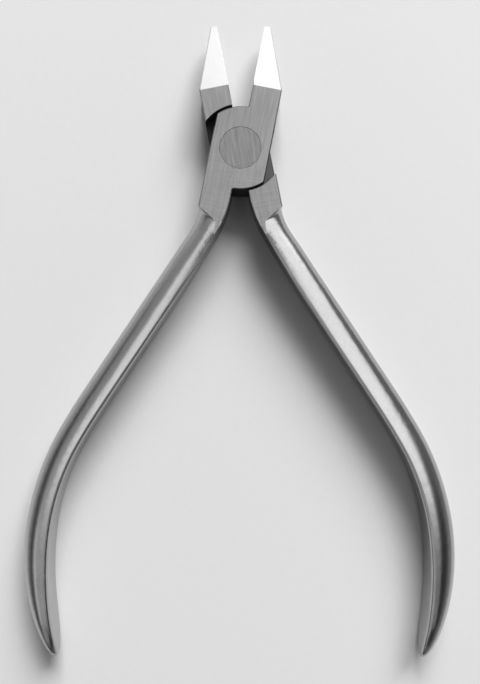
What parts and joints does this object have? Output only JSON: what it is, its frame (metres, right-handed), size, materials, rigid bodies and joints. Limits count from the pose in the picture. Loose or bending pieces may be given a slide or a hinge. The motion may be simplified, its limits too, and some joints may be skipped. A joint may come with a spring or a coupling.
{
  "type": "crimping pliers",
  "caption": "Flat-nose crimping pliers: lapped steel levers with tapered plain jaws, a flush pivot and bowed D-section handles.",
  "frame": {"origin": "on the pivot axis, in the plane of the back flats that the tool lies on", "axes": "+Z along the pivot axis from the back to the front of the tool, +Y from the pivot towards the jaws midway between them, +X to the right seen from the front"},
  "size_m": [0.0846, 0.1237, 0.006],
  "materials": {
    "front_steel": "ground flats, satin handle, polished jaw bevels",
    "rear_steel": "ground flats, satin handle, polished jaw bevels",
    "pin_steel": "ground flush with the flats"
  },
  "bodies": {
    "rear": {"rear_half": "rear_steel", "pivot_pin": "pin_steel"},
    "front": {"front_half": "front_steel"}
  },
  "joints": [
    {"name": "pivot", "type": "hinge", "parent": "rear", "child": "front", "pos_m": [0, 0, 0], "axis": [0, 0, 1], "range_deg": [-71.7, 21.8]}
  ]
}
